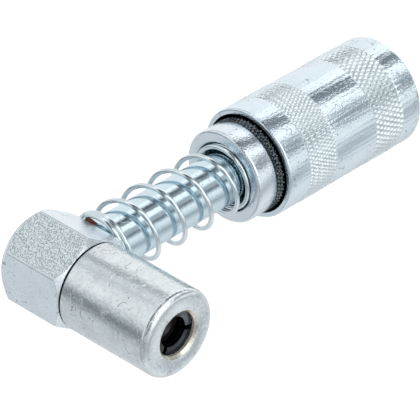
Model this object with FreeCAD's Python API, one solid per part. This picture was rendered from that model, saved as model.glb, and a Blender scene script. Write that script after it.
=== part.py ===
import FreeCAD, Part
import math
import os

from FreeCAD import Vector

# Right-angle grease coupler, in millimetres. The nose's axis is Y and its mouth faces -Y,
# the stem's axis runs along +X, and Z is up. The origin is the centre of the mouth's bore,
# where its chamfer ends. Depths are counted from the nose's front face, back into the nose.

# Elbow, a length of hexagon bar along the nose's axis
nose_reach = 27.2
hex_across_flats = 16.0
elbow_front = 7.2
elbow_back = 6.8
elbow_face_diameter = 15.4
front_bevel_length = 1.05
back_bevel_length = 1.8

# Nose cap, screwed on the elbow's spigot
cap_diameter = 16.0
cap_gap = 0.3
cap_edge_radius = 1.3
cap_thread_diameter = 13.8
spigot_length = 7.8
barrel_diameter = 13.3
mouth_diameter = 8.0
mouth_chamfer = 0.5
mouth_land = 0.5
cone_half_angle = 20.0

# Jaws, which wedge forward in the cap's cone
jaw_count = 3
jaw_gap = 0.9
jaw_length = 4.7
jaw_setback = 0.15
jaw_rim_width = 0.4
jaw_lip_diameter = 4.8
jaw_lead_in = 0.8
jaw_lip_width = 0.5
jaw_throat_diameter = 6.9
jaw_rear_diameter = 11.4
jaw_phase = 10.0

# Seal piston, with the rubber seal in front and the spring behind
flange_diameter = 11.2
flange_thickness = 1.2
piston_tube_diameter = 4.4
piston_bore_diameter = 2.0
nose_seal_diameter = 5.8
nose_seal_length = 2.4
nose_seal_bore = 1.6
nose_seal_cup = 3.6
nose_seal_cup_depth = 0.8
o_ring_section = 0.62
o_ring_from_tail = 1.2
jaw_spring_wire = 0.6
jaw_spring_diameter = 8.8
jaw_spring_closed_turns = 0.75
jaw_spring_open_turns = 1.5

# Check valve in the elbow's spigot
passage_diameter = 3.0
check_seat_offset = 5.0
check_chamber_length = 7.7
check_ball_diameter = 3.5
check_spring_wire = 0.35
check_spring_diameter = 2.6
check_spring_closed_turns = 0.75
check_spring_open_turns = 2.0

# Stem, screwed in the elbow's side
stem_diameter = 9.44
stem_end = 54.5
stem_thread_diameter = 7.2
stem_thread_length = 5.4
stem_thread_relief = 0.4
stem_bore_diameter = 2.5
stem_end_chamfer = 0.5
sealant_width = 0.85
sealant_height = 0.75

# Sliding sleeve and the collar pressed in its front
collar_front = 38.65
collar_head_diameter = 17.5
collar_head_length = 4.25
collar_edge_radius = 0.55
collar_shank_length = 7.4
spring_seat_slack = 0.05
spring_seat_depth = 1.8
seat_relief_slack = 0.1
seat_relief_depth = 2.2
sleeve_front = 44.7
sleeve_length = 34.2
sleeve_diameter = 20.7
sleeve_wall = 2.05
sleeve_mouth_wall = 1.1
sleeve_mouth_depth = 2.8
sleeve_front_radius = 0.45
sleeve_rear_radius = 0.8
socket_wall = 1.85
socket_depth = 13.0
socket_chamfer = 0.6

# Main spring between the elbow and the collar
main_wire = 0.9
main_spring_gap = 0.88
main_front_closed_turns = 1.25
main_open_turns = 4.45
main_rear_closed_turns = 2.05
main_spring_start = 61.0

# Stop washer and circlip behind the collar
washer_thickness = 1.0
washer_width = 2.4
circlip_thickness = 1.0
circlip_groove_depth = 0.62
circlip_height = 1.48
circlip_opening = 3.0
groove_slack = 0.1

# Grease nipple in the stem's end
nipple_thread_diameter = 6.0
nipple_thread_length = 5.5
nipple_hole_relief = 0.5
nipple_hex = 7.0
nipple_hex_length = 3.0
nipple_neck_diameter = 4.4
nipple_neck_length = 3.6
nipple_head_diameter = 6.5
nipple_head_length = 3.4
nipple_head_land = 1.2
nipple_tip_diameter = 3.4
nipple_bore_diameter = 2.8
nipple_port_diameter = 1.5
nipple_port_length = 0.8
nipple_inlet_diameter = 1.6
nipple_spring_seat = 1.0
nipple_ball_diameter = 2.3
nipple_spring_wire = 0.3
nipple_spring_diameter = 2.1
nipple_spring_closed_turns = 0.75
nipple_spring_open_turns = 4.0

# Fits between the pieces
thread_clearance = 0.03
running_clearance = 0.05
cone_clearance = 0.05
spring_clearance = 0.02

# How finely the coils and the rounded edges are drawn
main_spring_chords = 16
small_spring_chords = 12
wire_sides = 8
small_wire_sides = 6
edge_steps = 3

# Places that follow from the sizes above
mouth_plane_y = -mouth_chamfer
stem_axis_y = nose_reach - mouth_chamfer
hex_corner_radius = hex_across_flats / math.sqrt(3.0)
hex_flat = hex_across_flats / 2.0
shoulder_depth = nose_reach - elbow_front
spigot_end_depth = shoulder_depth - spigot_length
cap_rear_depth = shoulder_depth - cap_gap
cone_slope = math.tan(math.radians(cone_half_angle))
cone_start_depth = mouth_chamfer + mouth_land
cone_end_depth = cone_start_depth + (barrel_diameter - mouth_diameter) / 2.0 / cone_slope
jaw_front_depth = cone_start_depth + jaw_setback
jaw_rear_depth = jaw_front_depth + jaw_length
flange_front_depth = jaw_rear_depth + cone_clearance
flange_rear_depth = flange_front_depth + flange_thickness
check_seat_depth = nose_reach - check_seat_offset
piston_tail_depth = check_seat_depth - check_chamber_length
check_bore_diameter = piston_tube_diameter + 2.0 * running_clearance
o_ring_depth = piston_tail_depth - o_ring_from_tail
main_spring_diameter = stem_diameter + 2.0 * main_spring_gap + main_wire
spring_seat_diameter = main_spring_diameter + main_wire + 2.0 * spring_seat_slack
seat_relief_diameter = main_spring_diameter - main_wire + 2.0 * seat_relief_slack
collar_head_end = collar_front + collar_head_length
collar_rear = collar_head_end + collar_shank_length
spring_seat = collar_front + spring_seat_depth
sleeve_bore_diameter = sleeve_diameter - 2.0 * sleeve_wall
sleeve_mouth_diameter = sleeve_diameter - 2.0 * sleeve_mouth_wall
socket_diameter = sleeve_diameter - 2.0 * socket_wall
washer_rear = collar_rear + washer_thickness
circlip_rear = washer_rear + circlip_thickness
circlip_groove_diameter = stem_diameter - 2.0 * circlip_groove_depth
circlip_diameter = stem_diameter + 2.0 * circlip_height
sleeve_rear = sleeve_front + sleeve_length
nipple_hex_end = stem_end + nipple_hex_length
nipple_tip = nipple_hex_end + nipple_neck_length + nipple_head_length


def on_nose(depth):
    """Point on the nose's axis at this depth behind its front face."""
    return Vector(0, mouth_plane_y + depth, 0)


def on_stem(x):
    """Point on the stem's axis."""
    return Vector(x, stem_axis_y, 0)


def about_nose(outline):
    """Solid of revolution about the nose's axis from (diameter, depth behind the mouth) points."""
    points = [Vector(diameter / 2.0, mouth_plane_y + depth, 0) for diameter, depth in outline]
    face = Part.Face(Part.makePolygon(points + points[:1]))
    return face.revolve(Vector(0, 0, 0), Vector(0, 1, 0), 360)


def about_stem(outline):
    """Solid of revolution about the stem's axis from (place along X, diameter) points."""
    points = [Vector(x, stem_axis_y + diameter / 2.0, 0) for x, diameter in outline]
    face = Part.Face(Part.makePolygon(points + points[:1]))
    return face.revolve(on_stem(0), Vector(1, 0, 0), 360)


def nose_rod(diameter, front, rear):
    """Plain cylinder on the nose's axis between two depths."""
    return Part.makeCylinder(diameter / 2.0, rear - front, on_nose(front), Vector(0, 1, 0))


def stem_rod(diameter, start, end):
    """Plain cylinder on the stem's axis between two places along X."""
    return Part.makeCylinder(diameter / 2.0, end - start, on_stem(start), Vector(1, 0, 0))


def hexagon_bar(across_flats, base, direction, length, flat_direction):
    """Hexagon prism with one flat that faces flat_direction."""
    across = direction.cross(flat_direction)
    corner = across_flats / math.sqrt(3.0)
    points = []
    for index in range(6):
        angle = math.radians(30 + 60 * index)
        offset = flat_direction * (corner * math.cos(angle)) + across * (corner * math.sin(angle))
        points.append(base + offset)
    face = Part.Face(Part.makePolygon(points + points[:1]))
    return face.extrude(direction * length)


def turned_round(radius):
    """Quarter round of a turned edge, from its end face to its side, as (inward, along) distances."""
    points = []
    for step in range(edge_steps + 1):
        angle = math.pi / 2.0 * step / edge_steps
        points.append((radius * (1 - math.sin(angle)), radius * (1 - math.cos(angle))))
    return points


def coil_spring(length, wire, diameter, closed_turns, open_turns, chords_per_turn, sides, start_angle=0.0):
    """Compression spring along +Z from z = 0, with closed ends, its coils drawn as short chords."""
    front_closed, rear_closed = closed_turns
    closed_pitch = wire + spring_clearance
    open_length = length - wire - closed_pitch * (front_closed + rear_closed)
    open_pitch = open_length / open_turns
    turns = front_closed + open_turns + rear_closed
    chords = int(round(turns * chords_per_turn))
    centres = []
    for index in range(chords + 1):
        turn = turns * index / chords
        closed_part = min(turn, front_closed) + max(turn - front_closed - open_turns, 0)
        open_part = min(max(turn - front_closed, 0), open_turns)
        angle = math.radians(start_angle) + 2.0 * math.pi * turn
        height = wire / 2.0 + closed_pitch * closed_part + open_pitch * open_part
        centres.append(Vector(diameter / 2.0 * math.cos(angle), diameter / 2.0 * math.sin(angle), height))
    along = (centres[1] - centres[0]).normalize()
    outward = Vector(centres[0].x, centres[0].y, 0).normalize()
    upward = along.cross(outward).normalize()
    outward = upward.cross(along).normalize()
    section = []
    for side in range(sides):
        angle = 2.0 * math.pi * (side + 0.5) / sides
        offset = outward * (wire / 2.0 * math.cos(angle)) + upward * (wire / 2.0 * math.sin(angle))
        section.append(centres[0] + offset)
    profile = Part.makePolygon(section + section[:1])
    return Part.makePolygon(centres).makePipeShell([profile], True, False, 1)


def stand_along_x(shape, start):
    """Move a shape built along +Z onto the stem's axis, starting at this place along X."""
    turn = FreeCAD.Rotation(Vector(0, 1, 0), Vector(0, 0, 1), Vector(1, 0, 0), "XYZ")
    shape.Placement = FreeCAD.Placement(on_stem(start), turn)
    return shape


def stand_along_nose(shape, start):
    """Move a shape built along +Z onto the nose's axis, starting at this depth."""
    turn = FreeCAD.Rotation(Vector(1, 0, 0), -90)
    shape.Placement = FreeCAD.Placement(on_nose(start), turn)
    return shape


def make_elbow_body():
    bar_length = elbow_front + elbow_back
    bar = hexagon_bar(hex_across_flats, on_nose(shoulder_depth), Vector(0, 1, 0), bar_length, Vector(1, 0, 0))
    back_depth = nose_reach + elbow_back
    turned_ends = about_nose([
        (0, shoulder_depth),
        (elbow_face_diameter, shoulder_depth),
        (2 * hex_corner_radius, shoulder_depth + front_bevel_length),
        (2 * hex_corner_radius, back_depth - back_bevel_length),
        (elbow_face_diameter, back_depth),
        (0, back_depth),
    ])
    spigot = nose_rod(cap_thread_diameter - 2 * thread_clearance, spigot_end_depth, shoulder_depth + 1)
    body = bar.common(turned_ends).fuse(spigot)
    inside = about_nose([
        (0, spigot_end_depth),
        (check_bore_diameter, spigot_end_depth),
        (check_bore_diameter, check_seat_depth),
        (passage_diameter, check_seat_depth),
        (passage_diameter, nose_reach + passage_diameter / 2.0),
        (0, nose_reach + passage_diameter / 2.0),
    ])
    thread_depth = stem_thread_length + stem_thread_relief
    stem_hole = stem_rod(stem_thread_diameter + 2 * thread_clearance, hex_flat - thread_depth, hex_flat)
    cross_passage = stem_rod(passage_diameter, 0, hex_flat)
    return body.cut(inside).cut(stem_hole).cut(cross_passage).removeSplitter()


def make_nose_cap():
    front_edge = [(cap_diameter - 2 * inward, back) for inward, back in turned_round(cap_edge_radius)]
    return about_nose([
        (mouth_diameter + 2 * mouth_chamfer, 0),
        *front_edge,
        (cap_diameter, cap_rear_depth),
        (cap_thread_diameter, cap_rear_depth),
        (cap_thread_diameter, spigot_end_depth),
        (barrel_diameter, spigot_end_depth),
        (barrel_diameter, cone_end_depth),
        (mouth_diameter, cone_start_depth),
        (mouth_diameter, mouth_chamfer),
    ])


def make_jaw(index):
    front_diameter = mouth_diameter + 2 * cone_slope * jaw_setback - 2 * cone_clearance
    widest_depth = jaw_front_depth + (jaw_rear_diameter - front_diameter) / 2.0 / cone_slope
    lip_start = jaw_front_depth + jaw_lead_in
    lip_end = lip_start + jaw_lip_width
    ring = about_nose([
        (jaw_lip_diameter, lip_start),
        (front_diameter - 2 * jaw_rim_width, jaw_front_depth),
        (front_diameter, jaw_front_depth),
        (jaw_rear_diameter, min(widest_depth, jaw_rear_depth - 0.1)),
        (jaw_rear_diameter, jaw_rear_depth),
        (jaw_throat_diameter, jaw_rear_depth),
        (jaw_throat_diameter, lip_end + (jaw_throat_diameter - jaw_lip_diameter) / 2.0),
        (jaw_lip_diameter, lip_end),
    ])
    jaw = ring
    for side in range(jaw_count):
        corner = on_nose(jaw_front_depth - 1) - Vector(0, 0, jaw_gap / 2.0)
        slot = Part.makeBox(jaw_rear_diameter, jaw_length + 2, jaw_gap, corner)
        slot.rotate(on_nose(0), Vector(0, 1, 0), jaw_phase + 360.0 * side / jaw_count)
        jaw = jaw.cut(slot)
    pieces = sorted(jaw.Solids, key=lambda piece: math.atan2(piece.CenterOfMass.z, piece.CenterOfMass.x))
    return pieces[index]


def make_seal_piston():
    groove_front = o_ring_depth - o_ring_section / 2.0 - spring_clearance
    groove_rear = o_ring_depth + o_ring_section / 2.0 + spring_clearance
    groove_diameter = check_bore_diameter - 2 * o_ring_section - 2 * spring_clearance
    return about_nose([
        (piston_bore_diameter, flange_front_depth),
        (flange_diameter, flange_front_depth),
        (flange_diameter, flange_rear_depth),
        (piston_tube_diameter, flange_rear_depth),
        (piston_tube_diameter, groove_front),
        (groove_diameter, groove_front),
        (groove_diameter, groove_rear),
        (piston_tube_diameter, groove_rear),
        (piston_tube_diameter, piston_tail_depth),
        (piston_bore_diameter, piston_tail_depth),
    ])


def make_piston_o_ring():
    centre_diameter = check_bore_diameter - o_ring_section - 2 * spring_clearance
    section = []
    for side in range(wire_sides):
        angle = 2.0 * math.pi * (side + 0.5) / wire_sides
        across = o_ring_section * math.cos(angle)
        along = o_ring_section / 2.0 * math.sin(angle)
        section.append((centre_diameter + across, o_ring_depth + along))
    return about_nose(section)


def make_nose_seal():
    front = flange_front_depth - nose_seal_length
    return about_nose([
        (nose_seal_cup, front),
        (nose_seal_diameter, front),
        (nose_seal_diameter, flange_front_depth),
        (nose_seal_bore, flange_front_depth),
        (nose_seal_bore, front + nose_seal_cup_depth),
    ])


def make_jaw_spring():
    length = spigot_end_depth - flange_rear_depth
    ends = (jaw_spring_closed_turns, jaw_spring_closed_turns)
    quality = (small_spring_chords, small_wire_sides)
    coil = coil_spring(length, jaw_spring_wire, jaw_spring_diameter, ends, jaw_spring_open_turns, *quality)
    return stand_along_nose(coil, flange_rear_depth)


def check_ball_centre():
    seat_radius = passage_diameter / 2.0
    ball_radius = check_ball_diameter / 2.0
    return check_seat_depth - math.sqrt(ball_radius ** 2 - seat_radius ** 2)


def make_check_ball():
    return Part.makeSphere(check_ball_diameter / 2.0, on_nose(check_ball_centre()))


def make_check_spring():
    wire_inner_radius = (check_spring_diameter - check_spring_wire) / 2.0
    ball_radius = check_ball_diameter / 2.0
    contact_depth = check_ball_centre() - math.sqrt(ball_radius ** 2 - wire_inner_radius ** 2)
    length = contact_depth - piston_tail_depth - spring_clearance
    ends = (check_spring_closed_turns, check_spring_closed_turns)
    quality = (small_spring_chords, small_wire_sides)
    coil = coil_spring(length, check_spring_wire, check_spring_diameter, ends, check_spring_open_turns, *quality)
    return stand_along_nose(coil, piston_tail_depth)


def make_stem():
    thread_start = hex_flat - stem_thread_length
    nipple_hole_end = stem_end - nipple_thread_length - nipple_hole_relief
    return about_stem([
        (thread_start, stem_bore_diameter),
        (thread_start, stem_thread_diameter),
        (hex_flat, stem_thread_diameter),
        (hex_flat, stem_diameter),
        (washer_rear - groove_slack, stem_diameter),
        (washer_rear - groove_slack, circlip_groove_diameter),
        (circlip_rear + groove_slack, circlip_groove_diameter),
        (circlip_rear + groove_slack, stem_diameter),
        (stem_end - stem_end_chamfer, stem_diameter),
        (stem_end, stem_diameter - 2 * stem_end_chamfer),
        (stem_end, nipple_thread_diameter + 2 * thread_clearance),
        (nipple_hole_end, nipple_thread_diameter + 2 * thread_clearance),
        (nipple_hole_end, stem_bore_diameter),
    ])


def make_thread_sealant():
    inner = stem_diameter
    return about_stem([
        (hex_flat, inner),
        (hex_flat, inner + 2 * sealant_height),
        (hex_flat + sealant_width * 0.6, inner + 2 * sealant_height * 0.8),
        (hex_flat + sealant_width, inner),
    ])


def make_main_spring():
    length = spring_seat - hex_flat
    ends = (main_front_closed_turns, main_rear_closed_turns)
    quality = (main_spring_chords, wire_sides)
    coil = coil_spring(length, main_wire, main_spring_diameter, ends, main_open_turns, *quality, main_spring_start)
    return stand_along_x(coil, hex_flat)


def make_collar():
    bore = stem_diameter + 2 * running_clearance
    relief_end = spring_seat + seat_relief_depth
    front_edge = [
        (collar_front + back, collar_head_diameter - 2 * inward)
        for inward, back in turned_round(collar_edge_radius)
    ]
    return about_stem([
        (collar_front, spring_seat_diameter),
        *front_edge,
        (collar_head_end, collar_head_diameter),
        (collar_head_end, sleeve_bore_diameter),
        (collar_rear, sleeve_bore_diameter),
        (collar_rear, bore),
        (relief_end, bore),
        (relief_end, seat_relief_diameter),
        (spring_seat, seat_relief_diameter),
        (spring_seat, spring_seat_diameter),
    ])


def make_sleeve():
    mouth_end = sleeve_front + sleeve_mouth_depth
    front_edge = [
        (sleeve_front + back, sleeve_diameter - 2 * inward)
        for inward, back in turned_round(sleeve_front_radius)
    ]
    rear_edge = [
        (sleeve_rear - back, sleeve_diameter - 2 * inward)
        for inward, back in reversed(turned_round(sleeve_rear_radius))
    ]
    return about_stem([
        (sleeve_front, sleeve_mouth_diameter),
        *front_edge,
        *rear_edge,
        (sleeve_rear, socket_diameter + 2 * socket_chamfer),
        (sleeve_rear - socket_chamfer, socket_diameter),
        (sleeve_rear - socket_depth, socket_diameter),
        (sleeve_rear - socket_depth, sleeve_bore_diameter),
        (mouth_end, sleeve_bore_diameter),
        (mouth_end, sleeve_mouth_diameter),
    ])


def make_stop_washer():
    bore = stem_diameter + 2 * running_clearance
    rim = bore + 2 * washer_width
    return about_stem([
        (collar_rear, bore),
        (collar_rear, rim),
        (washer_rear, rim),
        (washer_rear, bore),
    ])


def make_stem_circlip():
    ring = about_stem([
        (washer_rear, circlip_groove_diameter),
        (washer_rear, circlip_diameter),
        (circlip_rear, circlip_diameter),
        (circlip_rear, circlip_groove_diameter),
    ])
    opening_start = on_stem(washer_rear) - Vector(0, circlip_opening / 2.0, circlip_diameter)
    opening = Part.makeBox(circlip_thickness, circlip_opening, circlip_diameter, opening_start)
    return ring.cut(opening)


def make_grease_nipple():
    head_start = nipple_hex_end + nipple_neck_length
    port_start = nipple_tip - nipple_port_length
    spring_seat_x = stem_end + nipple_spring_seat
    turned = about_stem([
        (stem_end - nipple_thread_length, nipple_inlet_diameter),
        (stem_end - nipple_thread_length, nipple_thread_diameter),
        (stem_end, nipple_thread_diameter),
        (nipple_hex_end - 0.5, nipple_thread_diameter),
        (head_start - 1.0, nipple_neck_diameter),
        (head_start, nipple_head_diameter),
        (head_start + nipple_head_land, nipple_head_diameter),
        (nipple_tip, nipple_tip_diameter),
        (nipple_tip, nipple_port_diameter),
        (port_start, nipple_port_diameter),
        (port_start, nipple_bore_diameter),
        (spring_seat_x, nipple_bore_diameter),
        (spring_seat_x, nipple_inlet_diameter),
    ])
    hexagon = hexagon_bar(nipple_hex, on_stem(stem_end), Vector(1, 0, 0), nipple_hex_length, Vector(0, 0, 1))
    core = stem_rod(nipple_bore_diameter, stem_end, nipple_hex_end)
    return turned.fuse(hexagon.cut(core)).removeSplitter()


def nipple_ball_centre():
    port_radius = nipple_port_diameter / 2.0
    ball_radius = nipple_ball_diameter / 2.0
    return nipple_tip - nipple_port_length - math.sqrt(ball_radius ** 2 - port_radius ** 2)


def make_nipple_ball():
    return Part.makeSphere(nipple_ball_diameter / 2.0, on_stem(nipple_ball_centre()))


def make_nipple_spring():
    inner_radius = (nipple_spring_diameter - nipple_spring_wire) / 2.0
    ball_radius = nipple_ball_diameter / 2.0
    contact = nipple_ball_centre() - math.sqrt(ball_radius ** 2 - inner_radius ** 2) - spring_clearance
    start = stem_end + nipple_spring_seat
    ends = (nipple_spring_closed_turns, nipple_spring_closed_turns)
    quality = (small_spring_chords, small_wire_sides)
    turns = nipple_spring_open_turns
    coil = coil_spring(contact - start, nipple_spring_wire, nipple_spring_diameter, ends, turns, *quality)
    return stand_along_x(coil, start)


def main():
    pieces = {
        "elbow_body": make_elbow_body(),
        "nose_cap": make_nose_cap(),
        "seal_piston": make_seal_piston(),
        "piston_o_ring": make_piston_o_ring(),
        "nose_seal": make_nose_seal(),
        "jaw_spring": make_jaw_spring(),
        "check_ball": make_check_ball(),
        "check_spring": make_check_spring(),
        "stem": make_stem(),
        "thread_sealant": make_thread_sealant(),
        "main_spring": make_main_spring(),
        "collar": make_collar(),
        "sleeve": make_sleeve(),
        "stop_washer": make_stop_washer(),
        "stem_circlip": make_stem_circlip(),
        "grease_nipple": make_grease_nipple(),
        "nipple_ball": make_nipple_ball(),
        "nipple_spring": make_nipple_spring(),
    }
    for index in range(jaw_count):
        pieces["jaw_%d" % (index + 1)] = make_jaw(index)
    os.makedirs("parts", exist_ok=True)
    for name, shape in pieces.items():
        solid = shape.Solids[0]
        if len(shape.Solids) != 1 or not solid.isValid():
            raise ValueError("%s is not one valid solid" % name)
        solid.exportStep("parts/%s.step" % name)
        print(name, round(solid.Volume, 2))


main()
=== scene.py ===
import math

import bpy
from mathutils import Matrix, Vector


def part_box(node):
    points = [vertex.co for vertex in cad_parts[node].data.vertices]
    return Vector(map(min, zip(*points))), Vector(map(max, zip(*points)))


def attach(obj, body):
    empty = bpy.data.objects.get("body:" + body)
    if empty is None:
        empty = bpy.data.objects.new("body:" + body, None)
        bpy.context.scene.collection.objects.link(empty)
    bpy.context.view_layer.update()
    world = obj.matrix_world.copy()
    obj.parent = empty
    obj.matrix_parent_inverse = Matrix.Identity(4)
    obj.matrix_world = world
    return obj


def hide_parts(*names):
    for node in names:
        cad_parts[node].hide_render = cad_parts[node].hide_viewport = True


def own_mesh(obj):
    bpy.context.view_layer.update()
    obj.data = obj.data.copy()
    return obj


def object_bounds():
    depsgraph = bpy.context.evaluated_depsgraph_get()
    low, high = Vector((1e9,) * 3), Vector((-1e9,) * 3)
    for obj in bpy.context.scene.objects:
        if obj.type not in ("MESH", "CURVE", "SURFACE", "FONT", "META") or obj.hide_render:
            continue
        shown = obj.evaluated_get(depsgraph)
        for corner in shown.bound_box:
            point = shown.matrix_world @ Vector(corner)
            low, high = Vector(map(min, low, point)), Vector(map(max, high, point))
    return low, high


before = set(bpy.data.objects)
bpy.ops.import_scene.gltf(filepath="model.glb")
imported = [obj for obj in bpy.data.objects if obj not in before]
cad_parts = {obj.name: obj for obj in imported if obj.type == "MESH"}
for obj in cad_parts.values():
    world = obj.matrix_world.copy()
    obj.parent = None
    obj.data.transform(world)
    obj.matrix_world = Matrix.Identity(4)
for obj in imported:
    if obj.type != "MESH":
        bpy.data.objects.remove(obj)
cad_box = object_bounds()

# Camera. A long lens looks down on the coupler from the front left, with the nose pointing
# at the lower right of the picture and the sleeve running away to the upper right.
mm = 0.001
nose_axis_to_mouth = 26.7 * mm
camera_azimuth = math.radians(-46.086)
camera_elevation = math.radians(33.96)
camera_roll = math.radians(0.218)
camera_distance = 600 * mm
camera_right = 24.551 * mm
camera_up = 9.766 * mm
camera_data = bpy.data.cameras.new("camera")
camera_data.sensor_width = 36.0
camera_data.lens = 308.37
camera_data.clip_start = 0.01
camera_data.clip_end = 20.0
camera = bpy.data.objects.new("camera", camera_data)
bpy.context.scene.collection.objects.link(camera)
backward = Vector((
    math.sin(camera_azimuth) * math.cos(camera_elevation),
    -math.cos(camera_azimuth) * math.cos(camera_elevation),
    math.sin(camera_elevation),
))
level = Vector((math.cos(camera_azimuth), math.sin(camera_azimuth), 0))
upright = backward.cross(level)
right = level * math.cos(camera_roll) + upright * math.sin(camera_roll)
up = upright * math.cos(camera_roll) - level * math.sin(camera_roll)
elbow_centre = Vector((0, nose_axis_to_mouth, 0))
place = elbow_centre + backward * camera_distance + right * camera_right + up * camera_up
turn = Matrix((right, up, backward)).transposed().to_4x4()
camera.matrix_world = Matrix.Translation(place) @ turn
bpy.context.scene.camera = camera
bpy.context.scene.view_settings.view_transform = "Standard"


# Studio. The coupler lies in a white light tent, whose open slots draw the grey stripes that
# run along its plated round parts. The floor is pale and keeps a faint shadow.
class Signal:
    """One socket of a node tree. Arithmetic on signals adds the Math nodes for it."""

    def __init__(self, tree, socket=None):
        self.tree = tree
        self.socket = socket

    def node(self, kind, settings=None, inputs=None, output=0):
        """Add a node: its settings first, then what its sockets get. A ramp's setting is its stops."""
        made = self.tree.nodes.new(kind)
        for name, value in (settings or {}).items():
            if name == "stops":
                ramp = made.color_ramp
                while len(ramp.elements) < len(value):
                    ramp.elements.new(0.5)
                for element, (position, colour) in zip(ramp.elements, value):
                    element.position = position
                    element.color = colour
            else:
                setattr(made, name, value)
        for name, value in (inputs or {}).items():
            if isinstance(value, Signal):
                self.tree.links.new(value.socket, made.inputs[name])
            else:
                made.inputs[name].default_value = value
        return Signal(self.tree, made.outputs[output] if made.outputs else None)

    def maths(self, operation, first, second=0.0):
        return self.node("ShaderNodeMath", {"operation": operation}, {0: first, 1: second})

    def __add__(self, other):
        return self.maths("ADD", self, other)

    __radd__ = __add__

    def __sub__(self, other):
        return self.maths("SUBTRACT", self, other)

    def __rsub__(self, other):
        return self.maths("SUBTRACT", other, self)

    def __mul__(self, other):
        return self.maths("MULTIPLY", self, other)

    __rmul__ = __mul__

    def __truediv__(self, other):
        return self.maths("DIVIDE", self, other)

    def between(self, low, high):
        """0 below low and 1 above high, smooth between them."""
        limits = {"Value": self, "From Min": low, "From Max": high}
        return self.node("ShaderNodeMapRange", {"interpolation_type": "SMOOTHSTEP"}, limits)

    def blend(self, first, second):
        """The first colour where this signal is 0, and the second where it is 1."""
        return self.node("ShaderNodeMix", {"data_type": "RGBA"}, {0: self, 6: first, 7: second}, 2)


def tent_stops(levels):
    """Ramp stops once round the tent, from (degrees, level) pairs. Dim light is a little bluer."""
    stops = []
    for degrees, brightness in levels:
        cool = 0.1 * max(1 - brightness, 0)
        colour = (brightness * (1 - cool), brightness, brightness * (1 + cool), 1)
        stops.append(((degrees + 180) / 360, colour))
    return stops


world = bpy.data.worlds.new("light_tent")
world.use_nodes = True
world.node_tree.nodes.clear()
sky = Signal(world.node_tree)
direction = sky.node("ShaderNodeTexCoord", output="Generated")
east = sky.node("ShaderNodeSeparateXYZ", inputs={0: direction}, output=0)
north = sky.node("ShaderNodeSeparateXYZ", inputs={0: direction}, output=1)
height = sky.node("ShaderNodeSeparateXYZ", inputs={0: direction}, output=2)

# What the stem, collar and sleeve mirror: the light by its angle round the stem's axis.
stem_levels = (
    (-180, 0.95), (-120, 0.66), (-95, 0.76), (-60, 0.86), (-42, 0.70), (-33, 0.52), (-25, 0.50),
    (-12, 0.80), (-3, 0.96), (9, 1.04), (15, 0.66), (20, 0.46), (24, 0.24), (29, 0.24), (32, 0.50),
    (48, 0.54), (52, 1.20), (70, 1.36), (74, 0.36), (86, 0.30), (89, 0.12), (96, 0.16),
    (103, 0.80), (109, 1.28), (150, 1.38), (180, 1.20),
)
round_stem = sky.maths("ARCTAN2", height, 0 - north) / (2 * math.pi) + 0.5
stem_light = sky.node("ShaderNodeValToRGB", {"stops": tent_stops(stem_levels)}, {0: round_stem})

# What the nose cap and the elbow's flats mirror: the light by its angle round the nose's axis.
nose_levels = (
    (-180, 0.20), (-171, 0.28), (-160, 0.46), (-150, 0.68), (-137, 0.68), (-120, 0.68),
    (-80, 0.68), (-50, 0.84), (-10, 0.97), (30, 0.98), (52, 1.00), (60, 0.80), (66, 0.42),
    (73, 0.40), (80, 0.76), (95, 0.84), (99, 0.60), (103, 0.60), (109, 0.84), (138, 0.92),
    (146, 0.96), (156, 0.74), (162, 0.74), (168, 0.48), (174, 0.40), (180, 0.20),
)
round_nose = sky.maths("ARCTAN2", height, east) / (2 * math.pi) + 0.5
nose_light = sky.node("ShaderNodeValToRGB", {"stops": tent_stops(nose_levels)}, {0: round_nose})

lamp_direction = Vector((-0.05, -0.86, 0.50)).normalized()
lamp_colour = (1.5, 1.5, 1.5, 1)
black = (0, 0, 0, 1)
white = (1, 1, 1, 1)
flag_depth = 0.34
towards_lamp = east * lamp_direction.x + north * lamp_direction.y + height * lamp_direction.z
in_lamp = towards_lamp.between(0.86, 0.92)
behind_flag = (0 - east).between(0.42, 0.56)
nose_side = north.between(0.32, 0.50)
stem_side_light = (behind_flag * flag_depth).blend(stem_light, black)
tent_light = in_lamp.blend(nose_side.blend(stem_side_light, nose_light), lamp_colour)
seen = sky.node("ShaderNodeLightPath", output="Is Camera Ray")
tent_shade = seen.blend(tent_light, white)
glow = sky.node("ShaderNodeBackground", inputs={"Color": tent_shade, "Strength": 1.0})
sky.node("ShaderNodeOutputWorld", inputs={"Surface": glow})
bpy.context.scene.world = world

floor_height = cad_box[0][2]
floor_half_width = 2.0
floor_corners = [(-1, -1), (1, -1), (1, 1), (-1, 1)]
floor_points = [(x * floor_half_width, y * floor_half_width, floor_height) for x, y in floor_corners]
floor_mesh = bpy.data.meshes.new("floor")
floor_mesh.from_pydata(floor_points, [], [(0, 1, 2, 3)])
floor = bpy.data.objects.new("floor", floor_mesh)
bpy.context.scene.collection.objects.link(floor)
floor.visible_glossy = False
paper = bpy.data.materials.new("floor_paper")
paper.use_nodes = True
paper.node_tree.nodes.clear()
sheet = Signal(paper.node_tree)
shaded = sheet.node("ShaderNodeBsdfDiffuse", inputs={"Color": (0.9, 0.9, 0.9, 1)})
glowing = sheet.node("ShaderNodeEmission", inputs={"Color": white, "Strength": 1.2})
seen = sheet.node("ShaderNodeLightPath", output="Is Camera Ray")
mixed = sheet.node("ShaderNodeMixShader", inputs={0: seen * 0.8, 1: shaded, 2: glowing})
sheet.node("ShaderNodeOutputMaterial", inputs={"Surface": mixed})
floor_mesh.materials.append(paper)


# Sleeve. A length of steel tube, turned and bored on a lathe, rolled with two bands of diamond
# knurl for the fingers, and zinc plated. It slides on the stem and hides the inlet nipple.
stem_axis = nose_axis_to_mouth


def about_stem(along, radius, angle):
    """Point of a piece turned about the stem's axis."""
    return (along, stem_axis + radius * math.cos(angle), radius * math.sin(angle))


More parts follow.
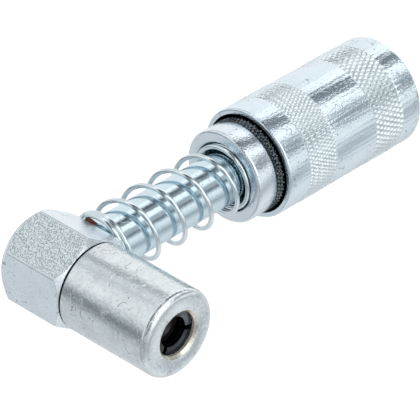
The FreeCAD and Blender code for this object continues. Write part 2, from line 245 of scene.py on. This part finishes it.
def meshed(name, points, faces, crease=35):
    """Object from points and faces, smooth except at edges sharper than the crease."""
    mesh = bpy.data.meshes.new(name)
    mesh.from_pydata(points, [], faces)
    mesh.polygons.foreach_set("use_smooth", [True] * len(mesh.polygons))
    mesh.set_sharp_from_angle(angle=math.radians(crease))
    mesh.update()
    made = bpy.data.objects.new(name, mesh)
    bpy.context.scene.collection.objects.link(made)
    return made


def turned_piece(name, rows, columns, where):
    """Closed turned mesh. A row is (place along the axis, radius or one radius per column)."""
    points = []
    for along, radius in rows:
        for column in range(columns):
            here = radius[column] if isinstance(radius, list) else radius
            points.append(where(along, here, 2 * math.pi * column / columns))
    faces = []
    for row in range(len(rows)):
        next_row = (row + 1) % len(rows)
        for column in range(columns):
            next_column = (column + 1) % columns
            a = row * columns + column
            b = row * columns + next_column
            c = next_row * columns + next_column
            d = next_row * columns + column
            if (row + column) % 2:
                faces += [(a, b, c), (a, c, d)]
            else:
                faces += [(a, b, d), (b, c, d)]
    return meshed(name, points, faces)


def first_face(row, columns):
    """Number of a turned piece's first face between this row and the next."""
    return row * 2 * columns


def rounding(along, radius, size, first, last, steps=6):
    """Points of an arc in the outline, from one angle in degrees to another."""
    points = []
    for step in range(steps + 1):
        angle = math.radians(first + (last - first) * step / steps)
        points.append((along + size * math.cos(angle), radius + size * math.sin(angle)))
    return points


def knurl_rows(start, end, radius, depth, diamonds, row_step, columns, land):
    """Rows of a rolled diamond knurl: small raised diamonds between two sets of crossing grooves.

    The land is the share of a diamond's width that stays flat on top.
    """
    groove_slant = math.radians(30)
    sunk_share = 0.7
    pitch_along = 2 * math.pi * radius / diamonds / math.tan(groove_slant)
    rows = []
    count = int(round((end - start) / row_step))
    for row in range(count + 1):
        along = start + (end - start) * row / count
        fade = min(1.0, row / 2, (count - row) / 2)
        radii = []
        for column in range(columns):
            across = diamonds * column / columns
            shift = row * row_step / pitch_along
            rise = 1.0
            for lead in (across + shift, across - shift):
                rise = min(rise, abs(lead - round(lead)) * 2 / (1 - land))
            radii.append(radius + depth * (rise - sunk_share) * fade)
        rows.append((along, radii))
    return rows


sleeve_low, sleeve_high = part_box("sleeve")
sleeve_start = sleeve_low[0]
sleeve_end = sleeve_high[0]
sleeve_radius = (sleeve_high[2] - sleeve_low[2]) / 2
sleeve_mouth = 9.25 * mm
sleeve_mouth_depth = 2.8 * mm
sleeve_bore = 8.3 * mm
socket_radius = 8.5 * mm
socket_depth = 13.0 * mm
socket_bevel = 0.6 * mm
mouth_edge = 0.15 * mm
front_round = 0.45 * mm
rear_round = 0.8 * mm
sleeve_columns = 756
front_knurl = knurl_rows(
    start=sleeve_start + 5.0 * mm, end=sleeve_start + 12.1 * mm, radius=sleeve_radius,
    depth=0.2 * mm, diamonds=84, row_step=0.165 * mm, columns=sleeve_columns, land=0.3,
)
rear_knurl = knurl_rows(
    start=sleeve_start + 22.1 * mm, end=sleeve_start + 29.4 * mm, radius=sleeve_radius,
    depth=0.24 * mm, diamonds=63, row_step=0.165 * mm, columns=sleeve_columns, land=0.3,
)
sleeve_rows = [(sleeve_start + mouth_edge, sleeve_mouth), (sleeve_start, sleeve_mouth + mouth_edge)]
sleeve_rows += rounding(
    sleeve_start + front_round, sleeve_radius - front_round, front_round, first=180, last=90,
)
sleeve_rows += front_knurl + rear_knurl
sleeve_rows += rounding(
    sleeve_end - rear_round, sleeve_radius - rear_round, rear_round, first=90, last=0,
)
sleeve_rows += [
    (sleeve_end, socket_radius + socket_bevel),
    (sleeve_end - socket_bevel, socket_radius),
    (sleeve_end - socket_depth, socket_radius),
    (sleeve_end - socket_depth, sleeve_bore),
    (sleeve_start + sleeve_mouth_depth, sleeve_bore),
    (sleeve_start + sleeve_mouth_depth, sleeve_mouth),
]
sleeve = turned_piece("knurled_sleeve", sleeve_rows, sleeve_columns, about_stem)
# How deep each point lies in a knurl groove. The knurled finish darkens the grooves by it, partly as
# dirt and partly as painted shade.
groove_floor = 0.13 * mm
deepest_groove = 0.3 * mm
groove = sleeve.data.attributes.new("groove", "FLOAT", "POINT")
for index, vertex in enumerate(sleeve.data.vertices):
    sunk = sleeve_radius - math.hypot(vertex.co.y - stem_axis, vertex.co.z)
    groove.data[index].value = min(max(sunk / groove_floor, 0), 1) if sunk < deepest_groove else 0.0


def plating(
    name, colour, roughness, grain=0.4, relief=0.006 * mm, pits=0.35, wave=0.12, metallic=1.0,
    rolled=None, grime_and_shade=None, flecks=0.0,
):
    """Zinc plate on steel: a metal with a fine grain, pits, scratches and slow changes of tone.

    The grain is in millimetres and the relief in metres. Pits, wave and flecks are strengths.
    Rolled names the mesh attribute that says where the bar's skin is. The last attribute argument
    names where the hollows are, which are darkened partly as dirt and partly as painted shade.
    """
    material = bpy.data.materials.new(name)
    material.use_nodes = True
    material.node_tree.nodes.clear()
    finish = Signal(material.node_tree)
    where = finish.node("ShaderNodeTexCoord", output="Object")

    def noise(scale, detail):
        spread = {"Vector": where, "Scale": scale, "Detail": detail}
        return finish.node("ShaderNodeTexNoise", inputs=spread)

    def painted(attribute):
        return finish.node("ShaderNodeAttribute", {"attribute_name": attribute}, output="Fac")

    fine = noise(1000 / grain, 3.0)
    broad = noise(260.0, 4.0)
    specks = noise(1300.0, 2.5)
    scattered = noise(190.0, 2.0)
    drift = noise(330.0, 1.0)
    dent = specks.between(0.66, 0.72) * scattered.between(0.44, 0.60)
    off_line = finish.maths("ABSOLUTE", drift - 0.5).between(0.0, 0.010)
    scratch = (1 - off_line) * scattered.between(0.56, 0.62)
    pit = finish.maths("MAXIMUM", dent, scratch)
    tone = broad.between(0.30, 0.70) * wave + fine.between(0.40, 0.60) * (wave * 0.8)
    dark = tuple(channel * 0.45 for channel in colour[:3]) + (1,)
    shade = (tone + pit * pits).blend(colour, dark)
    dull = roughness + 0.08 * broad.between(0.35, 0.7) + 0.25 * pit
    surface = fine + 0.5 * broad - 1.2 * pit
    if flecks:
        fleck = (1 - specks.between(0.34, 0.40)) * broad.between(0.46, 0.56)
        shade = (fleck * flecks).blend(shade, white)
        surface = surface + fleck
    if rolled:
        skin = painted(rolled)
        crust = noise(2200.0, 1.0)
        crease = 1 - finish.maths("ABSOLUTE", crust - 0.5).between(0.0, 0.036)
        # The skin's ground is painted whiter: partly the skin's own tone, partly painted light on the
        # flat that faces up.
        shade = (skin * 0.9).blend(shade, (0.88, 0.975, 1, 1))
        shade = (skin * crease * 0.85).blend(shade, (0.24, 0.32, 0.40, 1))
        surface = surface + skin * crust.between(0.38, 0.62) * 9.0
        # A thin dark line along each corner of the hexagon: painted reflection of the rounded corners.
        shade = (painted("corner") * 0.85).blend(shade, dark)
    # Hollows darkened partly as dirt and partly as painted shade.
    if grime_and_shade:
        shade = (painted(grime_and_shade) * 0.4).blend(shade, dark)
    bump = finish.node(
        "ShaderNodeBump", inputs={"Strength": 1.0, "Distance": relief, "Height": surface},
    )
    shell = finish.node("ShaderNodeBsdfPrincipled", inputs={
        "Base Color": shade,
        "Roughness": dull,
        "Metallic": metallic,
        "Normal": bump,
    })
    finish.node("ShaderNodeOutputMaterial", inputs={"Surface": shell})
    return material


bright_zinc = plating(
    "bright_zinc", (0.775, 0.885, 0.955, 1), roughness=0.08,
    grain=0.36, relief=0.055 * mm, pits=0.9, wave=0.06,
)
# Near black finish for the inside of the sleeve: painted shade.
bore_painted_shade = plating(
    "bore_painted_shade", (0.035, 0.045, 0.05, 1), roughness=0.4,
    relief=0.01 * mm, pits=0.2, wave=0.2, metallic=0.6,
)
knurled_zinc = plating(
    "knurled_zinc", (0.87, 0.97, 1.0, 1), roughness=0.27,
    grain=0.36, relief=0.015 * mm, pits=0.3, wave=0.05, grime_and_shade="groove",
)
for material in (bright_zinc, bore_painted_shade, knurled_zinc):
    sleeve.data.materials.append(material)

# Painted shade: the bore, the mouth's wall and half of the mouth's edge are painted near black.
bore_rows = 3
bore_starts = first_face(len(sleeve_rows) - bore_rows, sleeve_columns)
shaded_edge_faces = sleeve_columns
for polygon in sleeve.data.polygons:
    if polygon.index >= bore_starts or polygon.index < shaded_edge_faces:
        polygon.material_index = 1
    centre = polygon.center
    in_band = [band[0][0] < centre.x < band[-1][0] for band in (front_knurl, rear_knurl)]
    if any(in_band) and math.hypot(centre.y - stem_axis, centre.z) > sleeve_bore + mm:
        polygon.material_index = 2
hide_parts("sleeve")
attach(sleeve, "sleeve")


# Collar. A turned ring pressed in the sleeve's front by a knurled shank, which shows in the
# sleeve's mouth. Its recess takes the end of the main spring. Steel, zinc plated.
collar_low, collar_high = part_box("collar")
collar_start = collar_low[0]
collar_end = collar_high[0]
collar_radius = (collar_high[2] - collar_low[2]) / 2
collar_head = 4.25 * mm
head_end = collar_start + collar_head
collar_round = 0.55 * mm
rear_edge = 0.1 * mm
recess_edge = 0.2 * mm
recess_radius = 6.55 * mm
recess_end = collar_start + 1.8 * mm
relief_radius = 5.7 * mm
relief_end = collar_start + 4.0 * mm
shank_radius = sleeve_bore
collar_bore = 4.77 * mm
collar_columns = 360
shank_crest = shank_radius + 0.45 * mm
shank_knurl = knurl_rows(
    start=head_end + 0.1 * mm, end=collar_start + 8.6 * mm, radius=shank_crest,
    depth=0.3 * mm, diamonds=72, row_step=0.15 * mm, columns=collar_columns, land=0.2,
)
collar_rows = rounding(
    collar_start + recess_edge, recess_radius + recess_edge, recess_edge, 270, 180, steps=3,
)
collar_rows += rounding(
    collar_start + collar_round, collar_radius - collar_round, collar_round, 180, 90,
)
collar_rows += rounding(head_end - rear_edge, collar_radius - rear_edge, rear_edge, 90, 0, steps=2)
rows_of_head = 12
collar_rows += [(head_end, shank_radius + 0.3 * mm)]
collar_rows += shank_knurl
collar_rows += [
    (collar_end, shank_radius),
    (collar_end, collar_bore),
    (relief_end, collar_bore),
    (relief_end, relief_radius),
    (recess_end, relief_radius),
    (recess_end, recess_radius),
]
collar = turned_piece("spring_collar", collar_rows, collar_columns, about_stem)
collar_zinc = plating(
    "collar_zinc", (0.80, 0.88, 0.94, 1), roughness=0.08,
    grain=0.36, relief=0.055 * mm, pits=0.9, wave=0.06,
)
# The knurled shank in the sleeve's mouth is painted dark: painted shade.
shank_painted_shade = plating(
    "shank_painted_shade", (0.12, 0.15, 0.165, 1), roughness=0.12, relief=0.01 * mm, pits=0.3, wave=0.3,
)
# The spring recess and the relief behind it are painted dark teal: painted shade.
recess_painted_shade = plating(
    "recess_painted_shade", (0.30, 0.44, 0.49, 1), roughness=0.2, relief=0.01 * mm, pits=0.3, wave=0.3,
)
for material in (collar_zinc, shank_painted_shade, recess_painted_shade):
    collar.data.materials.append(material)
shank_starts = first_face(rows_of_head, collar_columns)
recess_starts = first_face(len(collar_rows) - 4, collar_columns)
for polygon in collar.data.polygons:
    if polygon.center.x > head_end - 0.02 * mm and polygon.index > shank_starts:
        polygon.material_index = 1
    if polygon.index >= recess_starts:
        polygon.material_index = 2
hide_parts("collar")
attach(collar, "sleeve")


# Main spring. Hard-drawn wire wound to seven and three quarter coils, closed at both ends and
# cut off square. It is zinc plated and pushes the sleeve away from the elbow.
def limited(value):
    """The value, kept between 0 and 1."""
    return min(max(value, 0), 1)


def wound_wire(
    name, room, wire, mean_radius, coils, where, first_angle=0.0, tail=0.0, steps_per_coil=64,
    sides=18,
):
    """Compression spring between two places along an axis.

    The coils are counted as closed ones at its start, open ones and closed ones at its end.
    The tail is the share by which the last coils are tighter.
    """
    change = 0.24
    front, middle, rear = coils
    total = front + middle + rear
    steps = int(total * steps_per_coil)
    stretch = [0.0]
    for step in range(steps):
        coil = (step + 0.5) / steps_per_coil
        opened = limited((coil - front) / change + 0.5)
        not_closed = limited((total - rear - coil) / change + 0.5)
        part = min(opened, not_closed)
        stretch.append(stretch[-1] + part * part * (3 - 2 * part))
    closed_pitch = wire * 1.022
    spare = room[1] - room[0] - wire - closed_pitch * total
    places = []
    for step in range(steps + 1):
        coil = step / steps_per_coil
        angle = first_angle + 2 * math.pi * coil
        along = room[0] + wire / 2 + closed_pitch * coil + spare * stretch[step] / stretch[-1]
        radius = mean_radius * (1 - tail * limited((coil - front - middle) / 0.5 + 0.5))
        outward = Vector(where(along, 1, angle)) - Vector(where(along, 0, angle))
        places.append((Vector(where(along, radius, angle)), outward))
    skin = []
    for index, (point, outward) in enumerate(places):
        ahead = places[min(index + 1, steps)][0]
        behind = places[max(index - 1, 0)][0]
        tangent = (ahead - behind).normalized()
        beside = tangent.cross(outward).normalized()
        upward = beside.cross(tangent)
        for side in range(sides):
            angle = 2 * math.pi * side / sides
            reach = upward * math.cos(angle) + beside * math.sin(angle)
            skin.append(point + reach * wire / 2)
    faces = []
    for index in range(steps):
        for side in range(sides):
            a = index * sides + side
            b = index * sides + (side + 1) % sides
            faces.append((a, b, b + sides, a + sides))
    faces.append(tuple(range(sides - 1, -1, -1)))
    faces.append(tuple(range(steps * sides, steps * sides + sides)))
    return meshed(name, skin, faces)


spring_low, spring_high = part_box("main_spring")
spring_room = (spring_low[0], spring_high[0])
main_spring = wound_wire(
    "coil_spring", spring_room, wire=0.9 * mm, mean_radius=6.05 * mm, coils=(1.25, 4.45, 2.05),
    where=about_stem, first_angle=math.radians(61), tail=0.035,
)
spring_wire = plating(
    "spring_wire", (0.80, 0.89, 0.93, 1), roughness=0.08,
    grain=0.3, relief=0.004 * mm, pits=0.25, wave=0.08,
)
main_spring.data.materials.append(spring_wire)
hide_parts("main_spring")
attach(main_spring, "spring")
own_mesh(main_spring)


# Elbow. A short piece of hexagon steel bar, turned to a bevel at both ends, with a threaded
# spigot for the nose cap, the piston's bore, the valve seat and the passage behind it. It is
# zinc plated, and one flat still has the rough skin that the bar was rolled with.
elbow_low, elbow_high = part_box("elbow_body")
elbow_start = elbow_low[1]
elbow_end = elbow_high[1]
shoulder = elbow_end - 14.0 * mm
hex_half = 8.0 * mm
hex_corner = hex_half / math.cos(math.radians(30))
corner_blend = 0.12 * mm
bevel_blend = 0.08 * mm
face_radius = 7.7 * mm
face_edge = face_radius - 0.15 * mm
front_bevel = 1.05 * mm
back_bevel = 1.8 * mm
spigot_radius = 6.87 * mm
piston_bore = 2.25 * mm
grease_passage = 1.5 * mm
valve_seat = nose_axis_to_mouth - 5.0 * mm
passage_end = nose_axis_to_mouth + grease_passage
pinhole = 0.02 * mm
elbow_columns = 720


def about_nose(along, radius, angle):
    """Point of a piece turned about the nose's axis."""
    return (radius * math.cos(angle), along, radius * math.sin(angle))


def softer_of(first, second, blend):
    """The smaller of two sizes, with the step between them rounded."""
    near = max(blend - abs(first - second), 0) / blend
    return min(first, second) - near * near * blend / 4


def hexagon_radius(angle):
    """Distance from the bar's axis to its skin."""
    turned = (angle + math.radians(30)) % math.radians(60) - math.radians(30)
    flat = hex_half / math.cos(turned)
    next_flat = hex_half / math.cos(math.radians(60) - abs(turned))
    return softer_of(flat, next_flat, corner_blend)


def elbow_row(along):
    """One ring of the bar, cut down by the turned bevel at its nearer end."""
    front = face_radius + (hex_corner - face_radius) * (along - shoulder) / front_bevel
    back = face_radius + (hex_corner - face_radius) * (elbow_end - along) / back_bevel
    cone = min(front, back)
    radii = []
    for column in range(elbow_columns):
        skin = hexagon_radius(2 * math.pi * column / elbow_columns)
        radii.append(softer_of(skin, cone, bevel_blend))
    return (along, radii)


elbow_rows = [
    (passage_end, pinhole),
    (passage_end, grease_passage),
    (valve_seat, grease_passage),
    (valve_seat, piston_bore),
    (elbow_start, piston_bore),
    (elbow_start, spigot_radius),
    (shoulder, spigot_radius),
    (shoulder, face_edge),
]
ring_stretches = (
    # first ring, distance between rings, how many
    (shoulder + 0.02 * mm, 0.05 * mm, 25),
    (shoulder + 2.27 * mm, 1.05 * mm, 9),
    (elbow_end - 2.02 * mm, 0.05 * mm, 41),
)
for first_ring, ring_step, rings in ring_stretches:
    for ring in range(rings):
        elbow_rows.append(elbow_row(first_ring + ring * ring_step))
elbow_rows += [(elbow_end, face_edge), (elbow_end, pinhole)]
elbow = turned_piece("hexagon_elbow", elbow_rows, elbow_columns, about_nose)

# The rough skin is on the flat that looks up to the camera, and ends just short of its corners.
skin_flat = 120
skin_half_width = 0.93 * 30
# The corner attribute marks a thin band along each corner of the flats, where a dark line is painted
# as a reflection.
corner_width = 0.14 * mm
rolled_skin = elbow.data.attributes.new("rolled_skin", "FLOAT", "POINT")
painted_corner_line = elbow.data.attributes.new("corner", "FLOAT", "POINT")
for index, vertex in enumerate(elbow.data.vertices):
    angle = 2 * math.pi * (index % elbow_columns) / elbow_columns
    reach = math.hypot(vertex.co.x, vertex.co.z)
    on_flat = reach > hexagon_radius(angle) - 0.03 * mm and vertex.co.y > shoulder + 0.1 * mm
    off_middle = abs(math.degrees(angle) - skin_flat)
    rolled_skin.data[index].value = 1.0 if on_flat and off_middle < skin_half_width else 0.0
    near_corner = abs(math.degrees(angle) % 60 - 30) * math.pi / 180 * hex_corner
    painted_corner_line.data[index].value = max(0.0, 1 - near_corner / corner_width) if on_flat else 0.0
elbow_zinc = plating(
    "elbow_zinc", (0.84, 0.93, 0.985, 1), roughness=0.2,
    grain=0.5, relief=0.024 * mm, pits=1.0, wave=0.10, metallic=0.7, rolled="rolled_skin",
)
# Near black finish for the gap under the nose cap: painted shade.
spigot_painted_shade = plating(
    "spigot_painted_shade", (0.02, 0.022, 0.025, 1), roughness=0.6,
    grain=0.3, pits=0.2, wave=0.2, metallic=0.5,
)
for material in (elbow_zinc, spigot_painted_shade):
    elbow.data.materials.append(material)
# The bores, the spigot, the shoulder and the start of the front bevel are painted near black: painted
# shade in the gap under the nose cap.
rows_of_spigot = 10
for polygon in elbow.data.polygons:
    if polygon.index < first_face(rows_of_spigot, elbow_columns):
        polygon.material_index = 1
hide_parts("elbow_body")
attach(elbow, "elbow")


# Nose cap. A turned cap, screwed on the elbow's spigot, with a rounded front edge and a
# bevelled mouth. Its inside narrows to the cone that wedges the jaws. It is zinc plated and
# burnished by tumbling, and the mouth's bevel and wall are rubbed yellowish.
cap_low, cap_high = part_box("nose_cap")
cap_front = cap_low[1]
cap_rear = cap_high[1]
cap_radius = (cap_high[0] - cap_low[0]) / 2
cap_round = 1.3 * mm
cap_rear_edge = 0.15 * mm
mouth_radius = 4.0 * mm
barrel_radius = 6.65 * mm
thread_radius = 6.9 * mm
thread_end = cap_front + 12.2 * mm
cone_end = cap_front + 8.28 * mm
cone_start = cap_front + 1.0 * mm
mouth_bevel = 0.5 * mm
bevel_edge = 0.04 * mm
cap_columns = 240
cap_rows = rounding(
    cap_front + cap_round, cap_radius - cap_round, cap_round, 180, 90, steps=14,
)
cap_rows += rounding(
    cap_rear - cap_rear_edge, cap_radius - cap_rear_edge, cap_rear_edge, 90, 0, steps=3,
)
cap_rows += [
    (cap_rear, thread_radius),
    (thread_end, thread_radius),
    (thread_end, barrel_radius),
    (cone_end, barrel_radius),
    (cone_start, mouth_radius),
    (cap_front + mouth_bevel, mouth_radius),
    (cap_front + bevel_edge, mouth_radius + mouth_bevel - bevel_edge),
    (cap_front, mouth_radius + mouth_bevel + bevel_edge / 2),
]
cap = turned_piece("nose_cap_shell", cap_rows, cap_columns, about_nose)
cap_zinc = plating(
    "cap_zinc", (0.825, 0.89, 0.91, 1), roughness=0.17,
    grain=0.6, relief=0.045 * mm, pits=0.9, wave=0.18, flecks=0.6,
)
mouth_zinc = plating(
    "mouth_zinc", (0.93, 0.91, 0.80, 1), roughness=0.2,
    grain=0.35, relief=0.03 * mm, pits=0.8, wave=0.4,
)
mouth_wall = plating(
    "mouth_wall", (0.84, 0.83, 0.72, 1), roughness=0.5,
    grain=0.3, relief=0.06 * mm, pits=0.9, wave=0.5, metallic=0.25,
)
for material in (cap_zinc, mouth_zinc, mouth_wall):
    cap.data.materials.append(material)
wall_starts = first_face(len(cap_rows) - 4, cap_columns)
bevel_starts = first_face(len(cap_rows) - 3, cap_columns)
face_starts = first_face(len(cap_rows) - 1, cap_columns)
for polygon in cap.data.polygons:
    if wall_starts <= polygon.index < face_starts:
        polygon.material_index = 1 if polygon.index >= bevel_starts else 2
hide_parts("nose_cap")
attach(cap, "elbow")


# Jaws. Three hardened segments with a lip that hooks behind a grease nipple's head. They are
# turned as one ring, sawn apart and blackened. The upper right one is painted a lighter grey: painted
# light.
def ring_segment(name, outline, middle, span, gap, columns=40):
    """Part of a turned ring with parallel saw cuts at its sides.

    The outline holds pairs of place along the nose and radius.
    """
    points = []
    for column in range(columns + 1):
        across = 2 * column / columns - 1
        for along, radius in outline:
            reach = span / 2 - math.asin(gap / 2 / radius)
            points.append(about_nose(along, radius, middle + reach * across))
    count = len(outline)
    last = columns * count
    faces = [tuple(range(count)), tuple(range(last + count - 1, last - 1, -1))]
    for column in range(columns):
        for corner in range(count):
            a = column * count + corner
            b = column * count + (corner + 1) % count
            faces.append((b, a, a + count, b + count))
    return meshed(name, points, faces, crease=24)


black_oxide = plating(
    "black_oxide", (0.075, 0.08, 0.10, 1), roughness=0.16, relief=0.016 * mm, pits=0.3, wave=0.4,
)
# A lighter grey oxide for the upper right jaw: painted light.
oxide_painted_light = plating(
    "oxide_painted_light", (0.17, 0.185, 0.215, 1), roughness=0.2, relief=0.016 * mm, pits=0.3, wave=0.4,
)
jaw_gap = 0.9 * mm
jaw_span = math.radians(120)
jaw_slope = math.tan(math.radians(20))
jaw_rim = 3.98 * mm
jaw_lip = 2.7 * mm
jaw_throat = 3.45 * mm
for number, middle, oxide in ((1, -70, black_oxide), (2, 50, oxide_painted_light), (3, 170, black_oxide)):
    node = "jaw_%d" % number
    segment_low, segment_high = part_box(node)
    front = segment_low[1]
    rear = segment_high[1]
    outline = [
        (front, jaw_rim - 0.7 * mm),
        (front, jaw_rim - 0.05 * mm),
        (front + 0.06 * mm, jaw_rim),
        (rear - 0.1 * mm, jaw_rim + (rear - front - 0.16 * mm) * jaw_slope),
        (rear, jaw_rim + (rear - front - 0.4 * mm) * jaw_slope),
        (rear, jaw_throat),
        (front + 2.0 * mm, jaw_throat),
        (front + 1.25 * mm, jaw_lip),
        (front + 0.42 * mm, jaw_lip),
        (front + 0.26 * mm, jaw_lip + 0.06 * mm),
        (front + 0.18 * mm, jaw_lip + 0.22 * mm),
    ]
    segment = ring_segment(
        "jaw_segment_%d" % number, outline, math.radians(middle), jaw_span, jaw_gap,
    )
    segment.data.materials.append(oxide)
    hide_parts(node)
    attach(segment, node)


# Piston and valves. The piston is turned steel with a black rubber seal in its face and a
# rubber ring on its tail. Polished balls on weak springs close the drillings behind it and
# in the inlet nipple.
def carried(node, material):
    """Give a piece that comes from the frame its finish."""
    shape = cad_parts[node]
    shape.data.materials.clear()
    shape.data.materials.append(material)


def small_spring(
    name, node, wire, mean_radius, open_coils, where, fixed_end,
):
    """Hidden spring that fills the room of a part. Its fixed end, 0 its start and 1 its end, has no
    effect.
    """
    direction = (about_stem, about_nose).index(where)
    low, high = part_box(node)
    room = (low[direction], high[direction])
    spring = wound_wire(
        name, room, wire, mean_radius, (0.75, open_coils, 0.75), where,
        steps_per_coil=32, sides=10,
    )
    spring.data.materials.append(spring_wire)
    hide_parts(node)
    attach(spring, "elbow")
    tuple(where(room[fixed_end], 0, 0))
    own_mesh(spring)


plain_steel = plating("plain_steel", (0.62, 0.63, 0.64, 1), roughness=0.28)
rubber = plating(
    "black_rubber", (0.008, 0.008, 0.01, 1), roughness=0.4,
    grain=0.3, relief=0.008 * mm, pits=0.1, wave=0.2, metallic=0.0,
)
carried("seal_piston", plain_steel)
carried("check_ball", plain_steel)
carried("nipple_ball", plain_steel)
carried("nose_seal", rubber)
carried("piston_o_ring", rubber)
small_spring(
    "piston_spring", "jaw_spring", wire=0.6 * mm, mean_radius=4.4 * mm, open_coils=1.5,
    where=about_nose, fixed_end=1,
)
small_spring(
    "valve_spring", "check_spring", wire=0.35 * mm, mean_radius=1.3 * mm, open_coils=2.0,
    where=about_nose, fixed_end=1,
)
small_spring(
    "inlet_spring", "nipple_spring", wire=0.3 * mm, mean_radius=1.05 * mm, open_coils=4.0,
    where=about_stem, fixed_end=0,
)


# Stem. A turned and drilled steel rod, zinc plated bright, screwed in the elbow's side. It
# holds the stop washer with a circlip, and the inlet nipple is screwed in its end.
stem_zinc = plating(
    "stem_zinc", (0.68, 0.82, 0.89, 1), roughness=0.08,
    grain=0.5, relief=0.014 * mm, pits=0.3, wave=0.08,
)
carried("stem", stem_zinc)
carried("stop_washer", plain_steel)
carried("stem_circlip", black_oxide)
carried("grease_nipple", bright_zinc)


# Sealant. Red thread lock that squeezed out in a bead round the stem's root and hardened. It
# left one lump on top. Beside the lump, towards the nose, the bead sinks under the stem's skin.
bead_start = 8.0 * mm
bead_half_width = 0.36 * mm
bead_height = 0.72 * mm
bead_radius = 4.66 * mm
bead_steps = 12
bead_columns = 180
bead_rows = []
for step in range(bead_steps + 1):
    angle = math.pi * step / bead_steps
    radii = []
    for column in range(bead_columns):
        around = 2 * math.pi * column / bead_columns
        lump = 0.30 + 0.08 * math.sin(5 * around + 1) + 0.05 * math.sin(11 * around + 2)
        lump += 1.15 * math.exp(-((around - 1.08) / 0.28) ** 2)
        lump -= 0.8 * math.exp(-((around - 2.1) / 0.62) ** 4)
        radii.append(bead_radius + bead_height * math.sin(angle) * lump)
    bead_rows.append((bead_start + bead_half_width * (1 - math.cos(angle)), radii))
bead = turned_piece("sealant_bead", bead_rows, bead_columns, about_stem)
red = plating(
    "red_sealant", (0.17, 0.018, 0.012, 1), roughness=0.18,
    grain=0.9, relief=0.09 * mm, pits=0.4, wave=0.5, metallic=0.0,
)
bead.data.materials.append(red)
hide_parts("thread_sealant")
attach(bead, "elbow")
